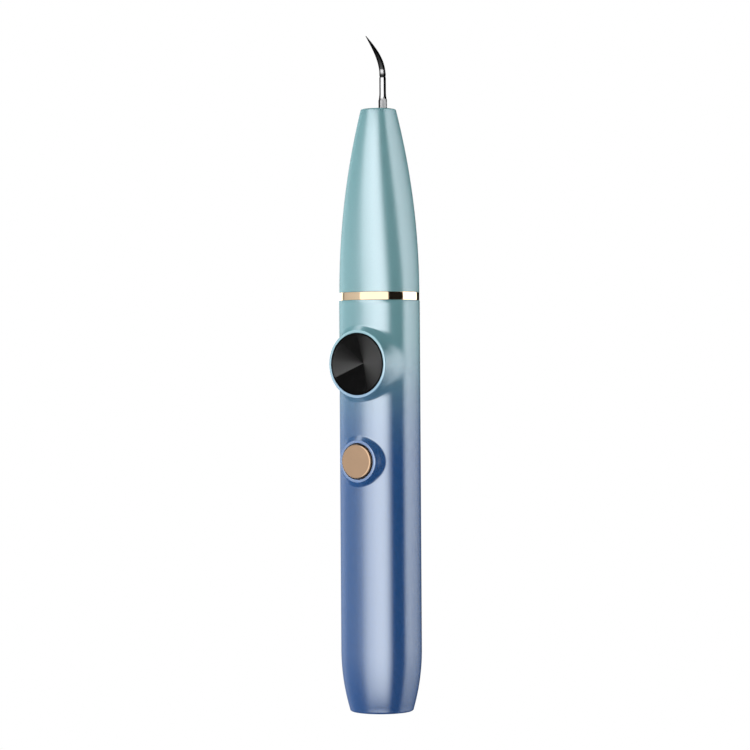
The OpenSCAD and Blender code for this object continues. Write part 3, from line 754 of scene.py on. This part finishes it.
MATERIALS = {
    "gradient_paint": paint,
    "aqua_paint": paint,
    "gold_metal": gold,
    "black_glass": black_glass,
    "tip_steel": tip_steel,
    "steel_screw": lambda n: steel(n, (0.5, 0.5, 0.51), (0.6, 0.6, 0.61), 0.3),
    "steel_mass": lambda n: steel(n, (0.4, 0.4, 0.42), (0.5, 0.5, 0.52), 0.3, (1, 1, 12)),
    "nickel": lambda n: steel(n, (0.6, 0.59, 0.56), (0.7, 0.69, 0.66), 0.2),
    "titanium": lambda n: steel(n, (0.38, 0.37, 0.38), (0.48, 0.47, 0.48), 0.28, (1, 1, 12)),
    "brass_pins": lambda n: steel(n, (0.68, 0.48, 0.18), (0.78, 0.58, 0.26), 0.2),
    "copper_foil": lambda n: steel(n, (0.6, 0.27, 0.13), (0.72, 0.36, 0.2), 0.3),
    "copper_wire": lambda n: steel(n, (0.5, 0.2, 0.08), (0.62, 0.28, 0.12), 0.35, (1, 1, 30), 1200.0),
    "clear_plastic": clear_plastic,
    "black_plastic": lambda n: moulded(n, (0.012, 0.012, 0.014), 0.45),
    "black_rubber": lambda n: moulded(n, (0.01, 0.01, 0.011), 0.6),
    "dark_module": lambda n: moulded(n, (0.015, 0.015, 0.017), 0.35),
    "white_plastic": lambda n: moulded(n, (0.62, 0.62, 0.58), 0.42),
    "green_board": lambda n: moulded(n, (0.008, 0.085, 0.035), 0.3, vary=0.25),
    "board_parts": lambda n: moulded(n, (0.28, 0.18, 0.06), 0.4, vary=0.3),
    "ferrite": lambda n: moulded(n, (0.03, 0.03, 0.033), 0.7, depth=0.4),
    "cell_wrap": lambda n: moulded(n, (0.015, 0.17, 0.075), 0.25),
    "black_foam": lambda n: moulded(n, (0.012, 0.012, 0.013), 0.95, scale=900.0, depth=0.6),
    "blue_plastic": lambda n: moulded(n, (0.02, 0.085, 0.25), 0.32),
    "blue_silicone": lambda n: moulded(n, (0.016, 0.06, 0.17), 0.55),
    "grey_silicone": lambda n: moulded(n, (0.07, 0.075, 0.085), 0.55),
    "red_wire": lambda n: moulded(n, (0.4, 0.012, 0.01), 0.45),
    "black_wire": lambda n: moulded(n, (0.012, 0.012, 0.012), 0.45),
    "white_wire": lambda n: moulded(n, (0.68, 0.68, 0.68), 0.45),
    "piezo_ceramic": lambda n: moulded(n, (0.66, 0.6, 0.48), 0.5),
    "amber_plastic": lambda n: moulded(n, (0.6, 0.32, 0.05), 0.3),
    "white_board": lambda n: moulded(n, (0.74, 0.74, 0.74), 0.35),
}
materials = {name: build(name) for name, build in MATERIALS.items()}

slot_of = {p["node"]: p["material_slot"] for p in frame["record"]["subparts"]}
for node, obj in frame["nodes"].items():
    obj.data.materials.clear()
    obj.data.materials.append(materials[slot_of[node]])

body_of = {n: b for b, ns in frame["record"]["behaviour"]["bodies"].items() for n in ns}


def stands_for(obj, node, material=None):
    obj.data.materials.append(material or materials[slot_of[node]])
    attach(obj, body_of[node])
    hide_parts(node)


stands_for(grip_housing(), "grip_shell")
stands_for(nose_skin(), "nose_shell")
stands_for(ring_band(), "accent_ring")
stands_for(glass_disc(), "display_window")
stands_for(button_cap(), "power_button", gold("cap_bronze", (0.6, 0.405, 0.262), (0.66, 0.44, 0.285), 0.12))
stands_for(tip_piece(), "scaler_tip")

# ---------------------------------------------------------------- camera
VIEW_AZ = radians(33.0)
CAM_DIST, CAM_Z = 0.806, 0.104
CAM_LEFT = 0.00152
CAM_ROLL = radians(-0.36)
LEAN, RIM_LEAN, LEAN_START = 0.88, 1.08, radians(2.5)
right = Vector((cos(VIEW_AZ), sin(VIEW_AZ), 0))
toward = Vector((sin(VIEW_AZ), -cos(VIEW_AZ), 0))
camera = bpy.data.objects.new("camera", bpy.data.cameras.new("camera"))
camera.data.lens = 124.8
camera.data.sensor_width = 36.0
camera.data.clip_end = 20.0
up = Vector((0, 0, 1))
turn = Matrix((right, up, toward)).transposed().to_4x4()
place = toward * CAM_DIST + Vector((0, 0, CAM_Z)) - right * CAM_LEFT
camera.matrix_world = Matrix.Translation(place) @ turn @ Matrix.Rotation(CAM_ROLL, 4, "Z")
bpy.context.collection.objects.link(camera)
bpy.context.scene.camera = camera

# ---------------------------------------------------------------- light and floor
def glow(name, strength, clear=True):
    """A plain white glow. A clear one lets light from behind it through."""
    mat = bpy.data.materials.new(name)
    mat.use_nodes = True
    tree = mat.node_tree
    tree.nodes.clear()
    out = tree.nodes.new("ShaderNodeOutputMaterial")
    emit = add(tree, "ShaderNodeEmission", Color=(1, 1, 1, 1), Strength=strength)
    if clear:
        both = tree.nodes.new("ShaderNodeAddShader")
        see_through = tree.nodes.new("ShaderNodeBsdfTransparent")
        tree.links.new(emit.outputs[0], both.inputs[0])
        tree.links.new(see_through.outputs[0], both.inputs[1])
        tree.links.new(both.outputs[0], out.inputs[0])
    else:
        tree.links.new(emit.outputs[0], out.inputs[0])
    return mat


# no profile goes above this, so that its colour ramp stays within 0 to 1
BRIGHTEST = 3.0


def surround(name, profile, levels, only=None, never=None, radius=1.6, lean=0.0):
    """A soft box bent all round the object. Its profile is (angle, brightness), the angle in degrees
    from the camera's direction, positive to the right. Its levels are (elevation, share of that
    brightness). Above the horizon the pattern leans to the left."""
    across, rows = 72, 10
    low, high = levels[0][0], levels[-1][0]
    verts, faces = [], []
    for i in range(rows + 1):
        e = radians(low + (high - low) * i / rows)
        for k in range(across):
            a = 2 * pi * k / across
            point = (cos(e) * sin(a), -cos(e) * cos(a), sin(e))
            verts.append(tuple(radius * c / MM for c in point))
    for i in range(rows):
        for k in range(across):
            n = (k + 1) % across
            faces.append((i * across + k, i * across + n, (i + 1) * across + n, (i + 1) * across + k))
    obj = make_object(name, verts, faces, 0)
    obj.location.z = CAM_Z
    obj.rotation_euler.z = VIEW_AZ
    mat = glow(name, 1.0)
    tree = mat.node_tree
    x, y, z = split(tree)
    turn = calc(tree, "ARCTAN2", x, calc(tree, "MULTIPLY", y, -1.0))
    above = calc(tree, "MAXIMUM", calc(tree, "SUBTRACT", z, radius * sin(LEAN_START)), 0.0)
    slant = calc(tree, "MULTIPLY_ADD", above, lean / radius, turn)
    level = spread_value(tree, slant, 0.0, 1.0, -pi, pi)
    shades = [((a + 180) / 360, (v / BRIGHTEST, v / BRIGHTEST, v / BRIGHTEST)) for a, v in profile]
    height = spread_value(tree, z, 0.0, 1.0, -radius, radius)
    bands = [((sin(radians(e)) + 1) / 2, (v, v, v)) for e, v in levels]
    share = calc(tree, "MULTIPLY", ramp(tree, level, shades), ramp(tree, height, bands))
    emit = next(n for n in tree.nodes if n.type == "EMISSION")
    tree.links.new(calc(tree, "MULTIPLY", share, BRIGHTEST), emit.inputs["Strength"])
    obj.data.materials.append(mat)
    obj.visible_camera = False
    obj.visible_shadow = False
    group = bpy.data.collections.new(name + "_lights")
    for piece in only or never:
        group.objects.link(piece)
    obj.light_linking.receiver_collection = group
    if never:
        for entry in group.collection_objects:
            entry.light_linking.link_state = "EXCLUDE"
    return obj


# for the lacquer: the key light, the fill from the left and the rim light from the right
SATIN_PROFILE = [
    (-180, 0.0), (-75, 0.0), (-64, 0.12), (-57, 0.3), (-51, 0.6), (-45, 0.9), (-39, 1.12), (-33, 1.27),
    (-24, 1.4), (-14, 1.58), (-4, 1.66), (7, 1.64), (13, 1.5), (18, 1.3), (23, 0.95), (27, 0.6),
    (31, 0.22), (35, 0.02), (39, 0.0), (180, 0.0),
]
SATIN_LEVELS = [
    (-50, 0.0), (-42, 0.03), (-36, 0.4), (-30, 0.67), (-22, 0.83), (-12, 0.93), (0, 1.0), (33.5, 1.0),
    (36, 0.4), (38.5, 0.0),
]
FILL_PROFILE = [
    (-180, 0.3), (-155, 0.5), (-138, 0.58), (-123, 0.38), (-112, 0.27), (-100, 0.23), (-80, 0.25),
    (-71, 0.28), (-64, 0.25), (-57, 0.2), (-51, 0.1), (-45, 0.03), (-40, 0.0), (180, 0.0),
]
FILL_LEVELS = [
    (-50, 0.0), (-30, 0.22), (-20, 0.45), (-10, 0.85), (0, 1.0), (6, 1.0), (14, 0.65), (24, 0.35),
    (33, 0.3), (42, 0.0),
]
RIM_PROFILE = [
    (-180, 0.0), (66, 0.0), (70, 0.3), (74.5, 0.68), (80, 0.92), (90, 0.96), (118, 0.72), (140, 0.42),
    (155, 0.12), (180, 0.0),
]
RIM_LEVELS = [
    (-50, 0.0), (-36, 0.2), (-25, 0.5), (-12, 0.75), (-3, 1.0), (8, 1.0), (18, 0.6), (28, 0.1),
    (32, 0.0),
]
NOSE_RIM_LEVELS = [(-10, 0.0), (-3, 1.0), (33.5, 1.0), (36, 0.4), (38.5, 0.0)]
# for the gold ring and cap
METAL_PROFILE = [
    (-180, 2.4), (-137, 2.4), (-133, 0.3), (-125, 0.36), (-118, 0.6), (-60, 0.74), (-56, 1.5),
    (24, 1.5), (27, 0.012), (71, 0.012), (74, 2.6), (134, 2.6), (138, 0.01), (180, 0.01),
]
METAL_LEVELS = [(-75, 0.55), (-40, 0.8), (-20, 1.0), (20, 1.0), (40, 0.8), (75, 0.55)]
# for the steel tip
STEEL_PROFILE = [
    (-180, 0.0), (-150, 0.03), (-80, 0.03), (-74, 0.3), (-68, 1.4), (30, 1.45), (36, 0.05), (42, 0.0),
    (180, 0.0),
]
STEEL_LEVELS = [(-75, 0.0), (-40, 0.3), (-20, 1.0), (25, 1.0), (40, 0.4), (75, 0.0)]
gold_pieces = [bpy.data.objects[n] for n in ("ring_band", "button_cap")]
steel_pieces = [bpy.data.objects["tip_piece"]]
nose_pieces = [bpy.data.objects["nose_skin"]]
satin_out = gold_pieces + steel_pieces
surround("satin_light", SATIN_PROFILE, SATIN_LEVELS, never=satin_out, lean=LEAN)
surround("fill_light", FILL_PROFILE, FILL_LEVELS, never=satin_out, radius=1.65, lean=LEAN)
surround("rim_light", RIM_PROFILE, RIM_LEVELS, never=satin_out + nose_pieces, radius=1.7)
surround("nose_rim_light", RIM_PROFILE, NOSE_RIM_LEVELS, only=nose_pieces, radius=1.7, lean=RIM_LEAN)
surround("metal_light", METAL_PROFILE, METAL_LEVELS, only=gold_pieces, radius=1.5)
surround("steel_light", STEEL_PROFILE, STEEL_LEVELS, only=steel_pieces, radius=1.45)


def wash(name, start, end, strength, radius=1.4, reach=28.0):
    """A soft light from the side that shades matt colour only, from one angle to another, counted
    from the camera's direction."""
    steps = ceil(abs(end - start) / 4)
    tall = radius * tan(radians(reach))
    verts, faces = [], []
    for k in range(steps + 1):
        a = radians(start + (end - start) * k / steps) + VIEW_AZ
        for z in (CAM_Z - tall, CAM_Z + tall):
            verts.append((radius * sin(a) / MM, -radius * cos(a) / MM, z / MM))
    for k in range(steps):
        faces.append((2 * k, 2 * k + 1, 2 * k + 3, 2 * k + 2))
    obj = make_object(name, verts, faces, 0)
    obj.data.materials.append(glow(name, strength))
    obj.visible_camera = False
    obj.visible_glossy = False
    obj.visible_shadow = False


wash("left_wash", -135, -70, 3.0)

FLOOR_HALF, FLOOR_Z = 4000, -9
corners = [(x * FLOOR_HALF, y * FLOOR_HALF, FLOOR_Z) for x, y in ((-1, -1), (1, -1), (1, 1), (-1, 1))]
floor = make_object("floor", corners, [(0, 1, 2, 3)], 0)
floor.data.materials.append(glow("floor_white", 1.0, clear=False))
floor.visible_glossy = False
floor.visible_diffuse = False
floor.visible_shadow = False

world = bpy.data.worlds.new("studio")
bpy.context.scene.world = world
world.use_nodes = True
world.node_tree.nodes["Background"].inputs["Color"].default_value = (1, 1, 1, 1)
world.node_tree.nodes["Background"].inputs["Strength"].default_value = 1.0
world.cycles_visibility.glossy = False
bpy.context.scene.view_settings.view_transform = "Standard"
